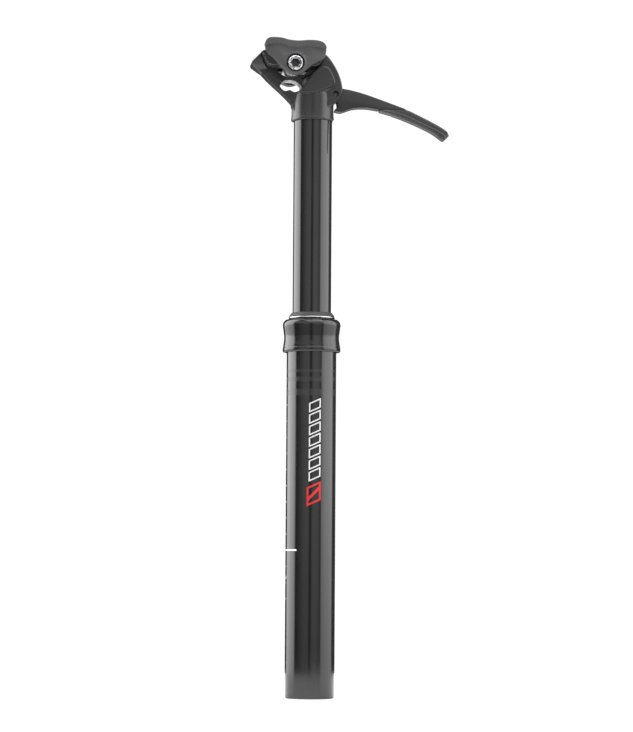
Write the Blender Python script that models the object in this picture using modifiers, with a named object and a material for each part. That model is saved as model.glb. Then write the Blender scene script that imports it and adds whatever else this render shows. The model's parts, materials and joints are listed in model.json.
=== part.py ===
"""Height-adjustable bicycle seatpost with a release lever under the saddle clamp.

Origin: centre of the base plug's flat hub, on the tube axis. +Z runs up the tubes and
+X points to the release lever. Sizes below are millimetres; MM turns them into metres.
"""
import math

import bmesh
import bpy
from mathutils import Matrix

MM = 0.001
GAP = 0.3                      # clearance left between neighbouring solids
OBJECT_NAME = "dropper_seatpost"

# Outer tube and what it holds
OUTER_R = 15.45                # 30.9 mm seat tube size
OUTER_BORE_R = 13.65
OUTER_TOP_Z = 225.5
KEY_COUNT = 3
KEY_WIDTH = 3.0
KEY_LENGTH = 12.0
KEY_OUTER_R = 14.1
KEY_INNER_R = 11.4
KEY_FOOT_Z = 152.0
COLLAR_FOOT_Z = 214.4
COLLAR_TOP_Z = 235.1
WIPER_TOP_Z = 239.0

# Inner tube
INNER_R = 12.0
INNER_BORE_R = 10.2
INNER_FOOT_Z = 150.0
INNER_TOP_Z = 369.0

# Gas spring
CYLINDER_R = 9.0
CYLINDER_BORE_R = 7.8
CYLINDER_FOOT_Z = 10.3
CYLINDER_TOP_Z = 190.0
ROD_R = 4.0
ROD_FOOT_Z = 166.0
SPIGOT_R = 3.0
SPIGOT_TOP_Z = 374.2
ROD_BORE_R = 1.6
ROD_BORE_FOOT_Z = 348.0
RELEASE_PIN_R = 1.25
RELEASE_PIN_FOOT_Z = 352.0
RELEASE_PIN_TOP_Z = 379.0

# Head
HEAD_FOOT_Z = 359.2
WEB_TOP_Z = 371.2              # floor of the lever slot
SLOT_HALF_Y = 5.0
WEB_HALF_Y = 6.0
HORN_HALF_Y = 11.0
BOSS_HALF_Y = 8.5
DOME_X = 2.0

# Release lever
LEVER_PIVOT = (13.4, 375.5)    # x, z
PIVOT_PIN_R = 1.5
LEVER_HALF_Y = 4.5
GRIP_HALF_Y = 5.2
CORE_HALF_Y = 3.2

# Saddle clamp
TILT_AXIS = (-13.6, 404.4)     # x, z
ROCKER_R = 20.0
BOLT_AXIS = (-13.4, 391.9)     # x, z
BOLT_R = 3.0
BOLT_HEAD_R = 5.0
RAIL_Y = 22.0
RAIL_Z = 400.4
RAIL_CHANNEL_R = 3.8
WEB_INNER_R = 10.0             # the web's top edge, about the tilt axis
SLEEVE_R = 5.3                 # spacer on the cross bolt, in the web's curved slot
EAR_OUTER_Y = 28.8
EAR_PLATE_Y = 21.3
EAR_LIP_Y = 19.4
SEAT_Y = 25.0                  # floor of the counterbores for bolt head and nut

BLACK_GLOSS = ("black_anodised", (0.012, 0.012, 0.013), 0.18, 0.6)
BLACK_SATIN = ("black_forged", (0.022, 0.022, 0.023), 0.38, 0.4)
RUBBER = ("black_rubber", (0.02, 0.02, 0.02), 0.75, 0.0)
GRIP_PLASTIC = ("grip_plastic", (0.025, 0.025, 0.026), 0.55, 0.0)
STEEL = ("steel", (0.62, 0.62, 0.64), 0.28, 1.0)
ALUMINIUM = ("bare_aluminium", (0.75, 0.75, 0.77), 0.32, 1.0)
BRASS = ("brass", (0.62, 0.45, 0.16), 0.35, 1.0)
BUSHING = ("bushing_plastic", (0.72, 0.70, 0.62), 0.5, 0.0)


# ---------------------------------------------------------------- helpers

def clear_scene():
    for obj in list(bpy.data.objects):
        bpy.data.objects.remove(obj, do_unlink=True)


def new_collection(name):
    collection = bpy.data.collections.new(name)
    bpy.context.scene.collection.children.link(collection)
    return collection


def material(spec):
    name, colour, roughness, metallic = spec
    found = bpy.data.materials.get(name)
    if found:
        return found
    made = bpy.data.materials.new(name)
    made.use_nodes = True
    shader = made.node_tree.nodes["Principled BSDF"]
    shader.inputs["Base Color"].default_value = (*colour, 1.0)
    shader.inputs["Roughness"].default_value = roughness
    shader.inputs["Metallic"].default_value = metallic
    made.diffuse_color = (*colour, 1.0)
    return made


def add_part(name, mesh, spec):
    obj = bpy.data.objects.new(name, mesh)
    mesh.materials.append(material(spec))
    PARTS.objects.link(obj)
    return obj


def add_cutter(name, mesh):
    obj = bpy.data.objects.new(name, mesh)
    obj.hide_render = True
    obj.display_type = "WIRE"
    CUTTERS.objects.link(obj)
    return obj


def combine(obj, tool, operation="DIFFERENCE"):
    modifier = obj.modifiers.new(f"{operation.lower()}_{tool.name}", "BOOLEAN")
    modifier.operation = operation
    modifier.object = tool
    return obj


def bevel(obj, width, segments=1, angle=40):
    modifier = obj.modifiers.new("edges", "BEVEL")
    modifier.width = width * MM
    modifier.segments = segments
    modifier.limit_method = "ANGLE"
    modifier.angle_limit = math.radians(angle)


def turned_mesh(name, profile):
    """Profile points are (radius, height), down the outside. A ring's profile closes."""
    mesh = bpy.data.meshes.new(name)
    count = len(profile)
    edges = [(i, i + 1) for i in range(count - 1)]
    if profile[0][0] > 0:
        edges.append((count - 1, 0))
    mesh.from_pydata([(r * MM, 0, z * MM) for r, z in profile], edges, [])
    return mesh


def spin(obj, segments):
    screw = obj.modifiers.new("turn", "SCREW")
    screw.steps = segments
    screw.render_steps = segments
    screw.use_merge_vertices = True
    screw.merge_threshold = 1e-5
    screw.use_smooth_shade = True
    return obj


def turned(name, profile, spec, segments=40):
    return spin(add_part(name, turned_mesh(name, profile), spec), segments)


def turned_cutter(name, profile, segments=40):
    return spin(add_cutter(name, turned_mesh(name, profile)), segments)


def cylinder_profile(radius, low, high):
    return [(0, high), (radius, high), (radius, low), (0, low)]


def ring_profile(outer, inner, low, high):
    return [(outer, high), (outer, low), (inner, low), (inner, high)]


def torus_profile(centre_r, centre_z, section_r, sides=6):
    """Points run clockwise, so that the outer side is walked from top to bottom."""
    turns = [2 * math.pi * i / sides for i in range(sides)]
    return [(centre_r + section_r * math.sin(t), centre_z + section_r * math.cos(t)) for t in turns]


def lay_along_y(obj, x, z):
    """A shape turned about Z is laid on its side: its +Z then points to +Y."""
    obj.rotation_euler = (-math.pi / 2, 0, 0)
    obj.location = (x * MM, 0, z * MM)
    return obj


def box_cutter(name, low, high):
    mesh = bpy.data.meshes.new(name)
    solid = bmesh.new()
    bmesh.ops.create_cube(solid, size=1.0)
    size = [(b - a) * MM for a, b in zip(low, high)]
    middle = [(a + b) / 2 * MM for a, b in zip(low, high)]
    bmesh.ops.scale(solid, vec=size, verts=solid.verts)
    bmesh.ops.translate(solid, vec=middle, verts=solid.verts)
    solid.to_mesh(mesh)
    solid.free()
    return add_cutter(name, mesh)


def outline_mesh(name, points, low_y, high_y, smooth=False, resolution=3):
    """A flat (x, z) outline made solid from low_y to high_y.

    With smooth, the corners named "round" in the points are eased by the curve.
    """
    curve = bpy.data.curves.new(name, "CURVE")
    curve.dimensions = "2D"
    curve.fill_mode = "BOTH"
    curve.extrude = (high_y - low_y) / 2 * MM
    curve.resolution_u = resolution
    if smooth:
        spline = curve.splines.new("BEZIER")
        spline.bezier_points.add(len(points) - 1)
        for knot, (x, z, *kind) in zip(spline.bezier_points, points):
            knot.co = (x * MM, z * MM, 0)
            handle = "AUTO" if kind else "VECTOR"
            knot.handle_left_type = knot.handle_right_type = handle
    else:
        spline = curve.splines.new("POLY")
        spline.points.add(len(points) - 1)
        for knot, (x, z) in zip(spline.points, points):
            knot.co = (x * MM, z * MM, 0, 1)
    spline.use_cyclic_u = True
    guide = bpy.data.objects.new(name + "_outline", curve)
    guide.rotation_euler = (math.pi / 2, 0, 0)
    guide.location = (0, (low_y + high_y) / 2 * MM, 0)
    bpy.context.scene.collection.objects.link(guide)
    bpy.context.view_layer.update()
    evaluated = guide.evaluated_get(bpy.context.evaluated_depsgraph_get())
    mesh = bpy.data.meshes.new_from_object(evaluated)
    mesh.name = name
    mesh.transform(guide.matrix_world)
    bpy.data.objects.remove(guide, do_unlink=True)
    solid = bmesh.new()
    solid.from_mesh(mesh)
    bmesh.ops.remove_doubles(solid, verts=solid.verts, dist=1e-6)
    bmesh.ops.recalc_face_normals(solid, faces=solid.faces)
    solid.to_mesh(mesh)
    solid.free()
    mesh.materials.clear()
    return mesh


def arc(centre, radius, start_deg, end_deg, steps):
    """Points round a centre; the angle is measured from straight down, towards +X."""
    points = []
    for i in range(steps + 1):
        turn = math.radians(start_deg + (end_deg - start_deg) * i / steps)
        points.append((centre[0] + radius * math.sin(turn), centre[1] - radius * math.cos(turn)))
    return points


def mirrored_copy(obj, name):
    """The same piece on the other side of the XZ plane."""
    mesh = obj.data.copy()
    mesh.name = name
    mesh.transform(Matrix.Scale(-1, 4, (0, 1, 0)))
    mesh.flip_normals()
    copy = bpy.data.objects.new(name, mesh)
    PARTS.objects.link(copy)
    return copy


def bake(obj):
    """Turn the piece's modifiers into its own mesh, shaded smooth with sharp edges kept."""
    bpy.context.view_layer.update()
    evaluated = obj.evaluated_get(bpy.context.evaluated_depsgraph_get())
    mesh = bpy.data.meshes.new_from_object(evaluated)
    mesh.name = obj.name
    obj.modifiers.clear()
    obj.data = mesh
    mesh.shade_smooth()
    mesh.set_sharp_from_angle(angle=math.radians(35))
    return obj


def joint_empty(name, x=0.0, z=0.0, parent=None):
    empty = bpy.data.objects.new(name, None)
    empty.empty_display_size = 0.01
    empty.location = (x * MM, 0, z * MM)
    bpy.context.scene.collection.objects.link(empty)
    if parent:
        hang(empty, parent)
    return empty


def hang(obj, parent):
    """Parent a piece without moving it."""
    bpy.context.view_layer.update()
    obj.parent = parent
    obj.matrix_parent_inverse = parent.matrix_world.inverted()


# ---------------------------------------------------------------- outer post

def outer_tube():
    edge = 0.4
    profile = [
        (OUTER_R - edge, OUTER_TOP_Z), (OUTER_R, OUTER_TOP_Z - edge), (OUTER_R, edge),
        (OUTER_R - edge, 0), (OUTER_BORE_R, 0), (OUTER_BORE_R, OUTER_TOP_Z),
    ]
    tube = turned("outer_tube", profile, BLACK_GLOSS, 48)
    for i in range(KEY_COUNT):
        half = KEY_WIDTH / 2 + GAP
        keyway = box_cutter(f"keyway_{i + 1}", (0, -half, 12), (KEY_OUTER_R + 0.35, half, 240))
        keyway.rotation_euler.z = key_angle(i)
        combine(tube, keyway)
    return tube


def key_angle(index):
    return math.radians(90 + 360 / KEY_COUNT * index)


def seal_collar():
    profile = [
        (13.6, COLLAR_TOP_Z), (14.2, COLLAR_TOP_Z), (16.4, 233.6), (17.6, 232.2), (18.0, 230.9),
        (17.9, 229.0), (17.35, 226.4), (17.1, 223.7), (17.35, 220.6), (17.8, 218.4),
        (18.0, 217.3), (18.0, 215.3), (17.5, COLLAR_FOOT_Z), (OUTER_R + GAP, COLLAR_FOOT_Z),
        (OUTER_R + GAP, 227.6), (13.6, 227.6),
    ]
    return turned("seal_collar", profile, BLACK_GLOSS, 48)


def dust_wiper():
    profile = [
        (12.3, WIPER_TOP_Z), (12.6, WIPER_TOP_Z), (14.1, 236.9), (13.3, 236.7), (13.3, 226.3),
        (12.3, 226.3),
    ]
    return turned("dust_wiper", profile, RUBBER, 48)


def collar_rings():
    turned("wiper_ring", ring_profile(14.4, 13.6, 235.4, 236.4), STEEL, 48)
    turned("collar_o_ring", torus_profile(14.65, 226.55, 0.7), RUBBER, 40)
    turned("upper_bushing", ring_profile(13.3, 12.3, 205.0, 225.2), BUSHING, 40)
    turned("top_out_bumper", ring_profile(13.3, 12.4, 193.0, 204.7), RUBBER, 40)


def base_plug():
    profile = [
        (0, 3.6), (4.3, 3.6), (4.3, 10.0), (13.3, 10.0), (13.3, 4.0), (6.5, 4.0), (6.5, 0),
        (0, 0),
    ]
    return turned("base_plug", profile, ALUMINIUM, 40)


def base_circlip():
    clip = turned("base_circlip", ring_profile(13.3, 10.8, 2.2, 3.4), STEEL, 40)
    combine(clip, box_cutter("circlip_gap", (9, -2.5, 1), (15, 2.5, 5)))
    return clip


def gas_cylinder():
    profile = [
        (0, 14.0), (CYLINDER_BORE_R, 14.0), (CYLINDER_BORE_R, CYLINDER_TOP_Z),
        (CYLINDER_R, CYLINDER_TOP_Z), (CYLINDER_R, CYLINDER_FOOT_Z), (4.0, CYLINDER_FOOT_Z),
        (4.0, 4.2), (0, 4.2),
    ]
    mesh = bpy.data.meshes.new("gas_cylinder")
    edges = [(i, i + 1) for i in range(len(profile) - 1)]
    mesh.from_pydata([(r * MM, 0, z * MM) for r, z in profile], edges, [])
    return spin(add_part("gas_cylinder", mesh, STEEL), 32)


def cylinder_gland():
    outer = CYLINDER_BORE_R - GAP
    turned("cylinder_gland", ring_profile(outer, ROD_R + GAP, 181.0, 189.6), ALUMINIUM, 32)
    turned("rod_seal", torus_profile(5.6, 179.2, 1.2), RUBBER, 32)


# ---------------------------------------------------------------- inner post

def inner_tube():
    profile = ring_profile(INNER_R, INNER_BORE_R, INNER_FOOT_Z, INNER_TOP_Z)
    tube = turned("inner_tube", profile, BLACK_GLOSS, 48)
    for i in range(KEY_COUNT):
        half = KEY_WIDTH / 2 + GAP
        low = (KEY_INNER_R - GAP, -half, KEY_FOOT_Z - GAP)
        high = (INNER_R + 2, half, KEY_FOOT_Z + KEY_LENGTH + GAP)
        pocket = box_cutter(f"key_pocket_{i + 1}", low, high)
        pocket.rotation_euler.z = key_angle(i)
        combine(tube, pocket)
    return tube


def guide_keys():
    for i in range(KEY_COUNT):
        mesh = bpy.data.meshes.new(f"guide_key_{i + 1}")
        solid = bmesh.new()
        bmesh.ops.create_cube(solid, size=1.0)
        size = ((KEY_OUTER_R - KEY_INNER_R) * MM, KEY_WIDTH * MM, KEY_LENGTH * MM)
        middle = ((KEY_OUTER_R + KEY_INNER_R) / 2 * MM, 0, (KEY_FOOT_Z + KEY_LENGTH / 2) * MM)
        bmesh.ops.scale(solid, vec=size, verts=solid.verts)
        bmesh.ops.translate(solid, vec=middle, verts=solid.verts)
        solid.to_mesh(mesh)
        solid.free()
        key = add_part(mesh.name, mesh, BRASS)
        key.rotation_euler.z = key_angle(i)
        bevel(key, 0.25)


def lower_bushing():
    return turned("lower_bushing", ring_profile(13.3, INNER_R + GAP, 170.0, 192.6), BUSHING, 40)


def piston_rod():
    profile = [
        (0, ROD_BORE_FOOT_Z), (ROD_BORE_R, ROD_BORE_FOOT_Z), (ROD_BORE_R, SPIGOT_TOP_Z),
        (SPIGOT_R, SPIGOT_TOP_Z), (SPIGOT_R, INNER_TOP_Z), (ROD_R, INNER_TOP_Z), (ROD_R, 177.0),
        (3.2, 177.0), (3.2, ROD_FOOT_Z), (0, ROD_FOOT_Z),
    ]
    return turned("piston_rod", profile, STEEL, 32)


def gas_piston():
    outer = CYLINDER_BORE_R - GAP
    profile = [
        (outer, 176.6), (outer, 173.6), (6.0, 173.4), (6.0, 170.2), (outer, 170.0),
        (outer, 166.0), (3.5, 166.0), (3.5, 176.6),
    ]
    turned("gas_piston", profile, ALUMINIUM, 32)
    turned("piston_seal", torus_profile(6.95, 171.8, 0.6), RUBBER, 32)


def rod_lock_nut():
    across_flats = 9.0
    corner_r = across_flats / 2 / math.cos(math.pi / 6)
    nut = turned("rod_lock_nut", cylinder_profile(corner_r, 371.5, 373.9), STEEL, 6)
    return combine(nut, turned_cutter("nut_bore", cylinder_profile(SPIGOT_R + GAP, 365, 380), 24))


def release_pin():
    profile = [
        (0, RELEASE_PIN_TOP_Z), (1.8, RELEASE_PIN_TOP_Z), (2.1, 378.7), (2.1, 378.0),
        (RELEASE_PIN_R, 377.6), (RELEASE_PIN_R, RELEASE_PIN_FOOT_Z), (0, RELEASE_PIN_FOOT_Z),
    ]
    return turned("release_pin", profile, STEEL, 16)


def head_web():
    """The upright plate behind the neck; the cradle straddles its round top."""
    outline = [
        (-12.0, 364.0), (-13.5, 369.6), (-20.4, 376.4), (-28.4, 383.6), (-34.0, 389.4),
        (-36.4, 392.4), (-31.0, 399.4), (5.0, 399.4), (9.0, 390.0), (8.0, 374.0), (2.0, 364.0),
    ]
    return add_cutter("head_web", outline_mesh("head_web", outline, -WEB_HALF_Y, WEB_HALF_Y))


def fin_top():
    """What is cut from the dome and the horn above the web's round top edge."""
    outline = arc(TILT_AXIS, WEB_INNER_R, -52, 52, 12)
    outline += [(6.3, 398.2), (6.3, 420.0), (-33.5, 420.0), (-33.5, 398.2)]
    return add_cutter("fin_top", outline_mesh("fin_top", outline, -WEB_HALF_Y - 4, WEB_HALF_Y + 4))


def head_horn():
    """The wedge that widens the web's end, and carries the cradle's rear edge."""
    root = WEB_HALF_Y + 0.7
    corners = [
        (-39.4, 394.9, 9.8), (-38.9, 393.2, 9.4), (-32.6, 386.6, root), (-25.0, 392.9, root),
        (-20.0, 398.0, root), (-24.0, 401.6, HORN_HALF_Y), (-32.4, 401.6, HORN_HALF_Y),
    ]
    mesh = bpy.data.meshes.new("head_horn")
    solid = bmesh.new()
    for x, z, half in corners:
        solid.verts.new((x * MM, -half * MM, z * MM))
        solid.verts.new((x * MM, half * MM, z * MM))
    bmesh.ops.convex_hull(solid, input=solid.verts)
    bmesh.ops.recalc_face_normals(solid, faces=solid.faces)
    solid.to_mesh(mesh)
    solid.free()
    horn = add_cutter("head_horn", mesh)
    bevel(horn, 0.8, angle=50)
    return horn


def head_boss():
    """The two cheeks that hold the lever's pivot pin, before the slot parts them."""
    side = [
        (0, 362.0), (11.6, 362.0), (12.5, 368.3), (13.2, 370.4), (15.2, 372.8), (17.0, 376.0),
        (17.3, 379.4), (16.4, 383.7), (15.2, 387.5), (0, 387.5),
    ]
    return add_cutter("head_boss", outline_mesh("head_boss", side, -BOSS_HALF_Y, BOSS_HALF_Y))


def head_dome():
    profile = [
        (0, 399.9), (5.3, 399.5), (8.2, 396.5), (11.2, 391.8), (13.3, 387.5), (14.4, 383.7),
        (15.3, 379.4), (15.0, 377.0), (13.2, 374.8), (11.2, 373.6), (0, 373.6),
    ]
    dome = turned_cutter("head_dome", profile, 40)
    dome.location.x = DOME_X * MM
    return dome


def tilt_slot():
    """The curved slot in the web, wide enough for the sleeve and long enough for the tilt."""
    reach = math.hypot(BOLT_AXIS[0] - TILT_AXIS[0], BOLT_AXIS[1] - TILT_AXIS[1])
    half_width = SLEEVE_R + 0.4
    sweep = 19.0
    outline = arc(TILT_AXIS, reach + half_width, -sweep, sweep, 8)
    right = arc(TILT_AXIS, reach, sweep, sweep, 1)[0]
    outline += arc(right, half_width, sweep + 30, sweep + 150, 4)
    outline += arc(TILT_AXIS, reach - half_width, sweep, -sweep, 6)
    left = arc(TILT_AXIS, reach, -sweep, -sweep, 1)[0]
    outline += arc(left, half_width, 180 - sweep + 30, 180 - sweep + 150, 4)
    return add_cutter("tilt_slot", outline_mesh("tilt_slot", outline, -9, 9))


def kidney_window():
    outline = [
        (-21.2, 380.5, "round"), (-20.3, 382.7, "round"), (-17.0, 384.2, "round"),
        (-13.0, 383.9, "round"), (-9.3, 382.2, "round"), (-8.0, 379.9, "round"),
        (-9.5, 377.6, "round"), (-12.0, 376.9, "round"), (-15.4, 377.9, "round"),
        (-18.4, 377.5, "round"), (-20.6, 379.0, "round"),
    ]
    mesh = outline_mesh("kidney_window", outline, -25, 25, smooth=True, resolution=3)
    return add_cutter("kidney_window", mesh)


def seatpost_head():
    neck = [
        (0, 374.6), (12.9, 374.4), (13.5, 373.4), (13.5, 369.5), (13.5, 366.0), (13.5, 362.5),
        (13.75, 360.4), (13.75, 359.5), (13.5, HEAD_FOOT_Z), (0, HEAD_FOOT_Z),
    ]
    head = turned("seatpost_head", neck, BLACK_SATIN, 48)
    combine(head, head_dome(), "UNION")
    combine(head, head_horn(), "UNION")
    combine(head, head_boss(), "UNION")
    combine(head, head_web(), "UNION")
    for low_y, high_y in ((-40, -WEB_HALF_Y), (WEB_HALF_Y, 40)):
        trough = turned_cutter("trough", cylinder_profile(ROCKER_R + GAP, low_y, high_y), 96)
        combine(head, lay_along_y(trough, *TILT_AXIS))
    combine(head, fin_top(), "DIFFERENCE")
    combine(head, tilt_slot())
    combine(head, kidney_window())
    socket = cylinder_profile(INNER_R + GAP, 350, INNER_TOP_Z + GAP)
    combine(head, turned_cutter("socket", socket, 48))
    rod_hole = turned_cutter("rod_hole", cylinder_profile(SPIGOT_R + GAP, 360, 380), 32)
    rod_hole.rotation_euler.z = math.radians(4)
    combine(head, rod_hole)
    slot = [
        (-5.6, WEB_TOP_Z), (12.4, WEB_TOP_Z), (12.4, 358.0), (24.0, 358.0), (24.0, 381.4),
        (12.5, 381.4), (9.5, 386.2), (-5.6, 386.2),
    ]
    lever_slot = outline_mesh("lever_slot", slot, -SLOT_HALF_Y, SLOT_HALF_Y)
    combine(head, add_cutter("lever_slot", lever_slot))
    pin_hole = turned_cutter("pivot_hole", cylinder_profile(PIVOT_PIN_R + GAP, -20, 20), 24)
    combine(head, lay_along_y(pin_hole, *LEVER_PIVOT))
    return bake(head)


def lever_pivot_pin():
    half = BOSS_HALF_Y - 0.3
    profile = cylinder_profile(PIVOT_PIN_R, -half, half)
    return lay_along_y(turned("lever_pivot_pin", profile, STEEL, 24), *LEVER_PIVOT)


# ---------------------------------------------------------------- release lever

def lever_arm():
    """One flat forging: inner arm, pivot boss, heel stop, outer arm and the grip's core."""
    outline = [
        (-3.2, 381.2), (6.0, 380.6), (9.8, 377.6), (10.2, 374.4), (12.4, 372.0, "round"),
        (15.0, 371.6, "round"), (15.7, 369.8), (15.6, 367.0, "round"), (13.5, 366.4),
        (13.5, 365.5), (17.6, 365.0), (20.0, 365.8, "round"), (25.3, 367.5, "round"),
        (33.0, 367.9, "round"), (40.3, 366.9), (44.0, 366.4), (54.0, 363.8, "round"),
        (66.0, 359.0, "round"), (78.0, 352.3), (79.6, 354.2), (68.0, 361.2, "round"),
        (56.0, 366.0), (53.0, 369.3), (43.0, 373.3, "round"), (32.0, 376.9, "round"),
        (24.0, 378.9, "round"), (17.2, 380.1), (12.0, 380.7), (7.0, 384.2), (-3.2, 384.2),
    ]
    mesh = outline_mesh("lever_arm", outline, -LEVER_HALF_Y, LEVER_HALF_Y, smooth=True)
    arm = add_part("lever_arm", mesh, BLACK_SATIN)
    for side in (-1, 1):
        low_y, high_y = sorted((side * CORE_HALF_Y, side * 9))
        waist = [
            (40.8, 340.0), (40.8, 368.0), (56.4, 368.0), (58.2, 372.0), (92.0, 372.0), (92.0, 340.0),
        ]
        trim = outline_mesh("core_trim", waist, low_y, high_y)
        combine(arm, add_cutter("core_trim", trim))
    pivot = turned_cutter("lever_bore", cylinder_profile(PIVOT_PIN_R + GAP, -20, 20), 24)
    combine(arm, lay_along_y(pivot, *LEVER_PIVOT))
    screw_hole = cylinder_profile(1.5 + GAP, 375, 390)
    combine(arm, turned_cutter("screw_hole", screw_hole, 16))
    return bake(arm)


def lever_grip():
    """A sleeve over the outer arm, open at its inner end for the arm's core."""
    outline = [
        (41.2, 365.4), (46.0, 364.4, "round"), (52.1, 362.5, "round"), (61.5, 359.0, "round"),
        (70.2, 355.2, "round"), (75.5, 352.3, "round"), (80.6, 348.0, "round"),
        (82.6, 347.6, "round"), (85.6, 350.2, "round"), (84.6, 353.8, "round"),
        (80.1, 356.9, "round"), (70.8, 361.8, "round"), (62.0, 366.2, "round"),
        (58.6, 367.8), (57.0, 367.2), (44.0, 367.6), (41.4, 366.8),
    ]
    mesh = outline_mesh("lever_grip", outline, -GRIP_HALF_Y, GRIP_HALF_Y, smooth=True)
    grip = add_part("lever_grip", mesh, GRIP_PLASTIC)
    bevel(grip, 1.0, 2, angle=60)
    core = [
        (36.0, 367.6), (40.3, 366.6), (44.0, 366.1), (54.0, 363.4, "round"),
        (66.0, 358.6, "round"), (78.2, 351.8), (80.2, 354.3), (68.2, 361.6, "round"),
        (57.0, 366.1), (54.4, 368.4), (53.5, 375.0), (36.0, 380.0),
    ]
    half = CORE_HALF_Y + GAP
    pocket = outline_mesh("grip_pocket", core, -half, half, smooth=True)
    combine(grip, add_cutter("grip_pocket", pocket))
    return bake(grip)


def adjuster_screw():
    profile = [
        (0, 383.2), (0.8, 383.2), (0.8, 385.0), (1.3, 385.0), (1.5, 384.8), (1.5, 379.8),
        (1.0, 379.3), (0, 379.3),
    ]
    return turned("adjuster_screw", profile, STEEL, 16)


# ---------------------------------------------------------------- saddle clamp

def rail_channel(side):
    profile = cylinder_profile(RAIL_CHANNEL_R, -60, 60)
    channel = turned_cutter("rail_channel", profile, 32)
    channel.rotation_euler = (0, math.pi / 2, 0)
    channel.location = (TILT_AXIS[0] * MM, side * RAIL_Y * MM, RAIL_Z * MM)
    return channel


def saddle_cradle():
    """A rocker: its round ends turn in the head's trough, its outer flanges carry the rails."""
    top = 401.0
    low = 391.3
    half_low = math.degrees(math.acos((TILT_AXIS[1] - low) / ROCKER_R))
    half_top = math.degrees(math.acos((TILT_AXIS[1] - top) / ROCKER_R))
    outline = arc(TILT_AXIS, ROCKER_R, half_low, half_top, 8)
    outline += arc(TILT_AXIS, ROCKER_R, -half_top, -half_low, 8)
    cradle = add_part("saddle_cradle", outline_mesh("saddle_cradle", outline, -14.2, 14.2), BLACK_SATIN)
    step = top - 0.4
    flange = [(x, min(z, step)) for x, z in outline]
    for side in (-1, 1):
        low_y, high_y = sorted((side * 13.8, side * (EAR_PLATE_Y - GAP)))
        rib = outline_mesh("cradle_flange", flange, low_y, high_y)
        combine(cradle, add_cutter("cradle_flange", rib), "UNION")
        combine(cradle, rail_channel(side))
    half = WEB_HALF_Y + 0.4
    groove = ring_profile(ROCKER_R + 4, WEB_INNER_R - 0.4, -half, half)
    combine(cradle, lay_along_y(turned_cutter("web_groove", groove, 64), *TILT_AXIS))
    notch = turned_cutter("sleeve_notch", cylinder_profile(SLEEVE_R + GAP, -40, 40), 32)
    combine(cradle, lay_along_y(notch, *BOLT_AXIS))
    return bake(cradle)


def clamp_sleeve():
    """The spacer on the cross bolt that keeps the two ears apart."""
    half = EAR_PLATE_Y - GAP
    profile = ring_profile(SLEEVE_R, BOLT_R + GAP, -half, half)
    return lay_along_y(turned("clamp_sleeve", profile, STEEL, 32), *BOLT_AXIS)


def clamp_ear():
    """The near jaw: a plate with a lip that hooks over the saddle rail."""
    outline = [
        (-32.1, 403.8), (-31.2, 406.2, "round"), (-28.7, 407.4, "round"),
        (-22.5, 407.3, "round"), (-17.3, 406.2, "round"), (-11.5, 405.6, "round"),
        (-5.3, 406.1, "round"), (0.2, 405.9, "round"), (4.1, 404.5, "round"),
        (5.8, 401.6, "round"), (5.3, 397.4), (4.7, 395.2), (1.1, 393.4), (-3.9, 390.3),
        (-7.9, 386.6),
    ]
    apex = arc(BOLT_AXIS, 6.9, 38, -42, 6)
    outline += apex + [(-22.3, 390.4), (-26.7, 395.0), (-31.2, 398.7), (-32.2, 400.6)]
    mesh = outline_mesh("near_clamp_ear", outline, -EAR_OUTER_Y, -EAR_LIP_Y, smooth=True, resolution=2)
    ear = add_part("near_clamp_ear", mesh, BLACK_SATIN)
    bevel(ear, 0.6, 1, angle=60)
    combine(ear, box_cutter("ear_inside", (-45, -EAR_PLATE_Y, 370), (20, -10, RAIL_Z)))
    combine(ear, rail_channel(-1))
    scoop = turned_cutter("ear_scoop", [(0, 8.4), (17.5, 0), (0, -8.4)], 40)
    scoop.rotation_euler = (math.pi / 2, 0, 0)
    scoop.scale = (1.25, 1.0, 1.0)
    scoop.location = (-13.3 * MM, -33.2 * MM, 397.0 * MM)
    combine(ear, scoop)
    seat = turned_cutter("bolt_seat", cylinder_profile(BOLT_HEAD_R + 0.5, -40, -SEAT_Y), 32)
    combine(ear, lay_along_y(seat, *BOLT_AXIS))
    hole = turned_cutter("ear_bolt_hole", cylinder_profile(BOLT_R + GAP, -40, 0), 24)
    combine(ear, lay_along_y(hole, *BOLT_AXIS))
    return bake(ear)


def clamp_bolt():
    head_low = -SEAT_Y - GAP
    head_top = head_low - 3.2
    profile = [
        (0, 27.6), (2.6, 27.6), (BOLT_R, 27.2), (BOLT_R, head_low), (BOLT_HEAD_R, head_low),
        (BOLT_HEAD_R, head_top + 0.3), (BOLT_HEAD_R - 0.3, head_top), (0, head_top),
    ]
    bolt = turned("clamp_bolt", profile, STEEL, 24)
    key_corner_r = 2.5 / math.cos(math.pi / 6)
    key = turned_cutter("hex_key", cylinder_profile(key_corner_r, head_top - 5, head_top + 2.2), 6)
    combine(bolt, key)
    lay_along_y(bolt, *BOLT_AXIS)
    lay_along_y(key, *BOLT_AXIS)
    return bake(bolt)


def clamp_nut():
    low = SEAT_Y + GAP
    profile = ring_profile(BOLT_HEAD_R, BOLT_R + GAP, low, low + 3.2)
    nut = turned("clamp_nut", profile, STEEL, 24)
    return lay_along_y(nut, *BOLT_AXIS)


# ---------------------------------------------------------------- assembly

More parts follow.
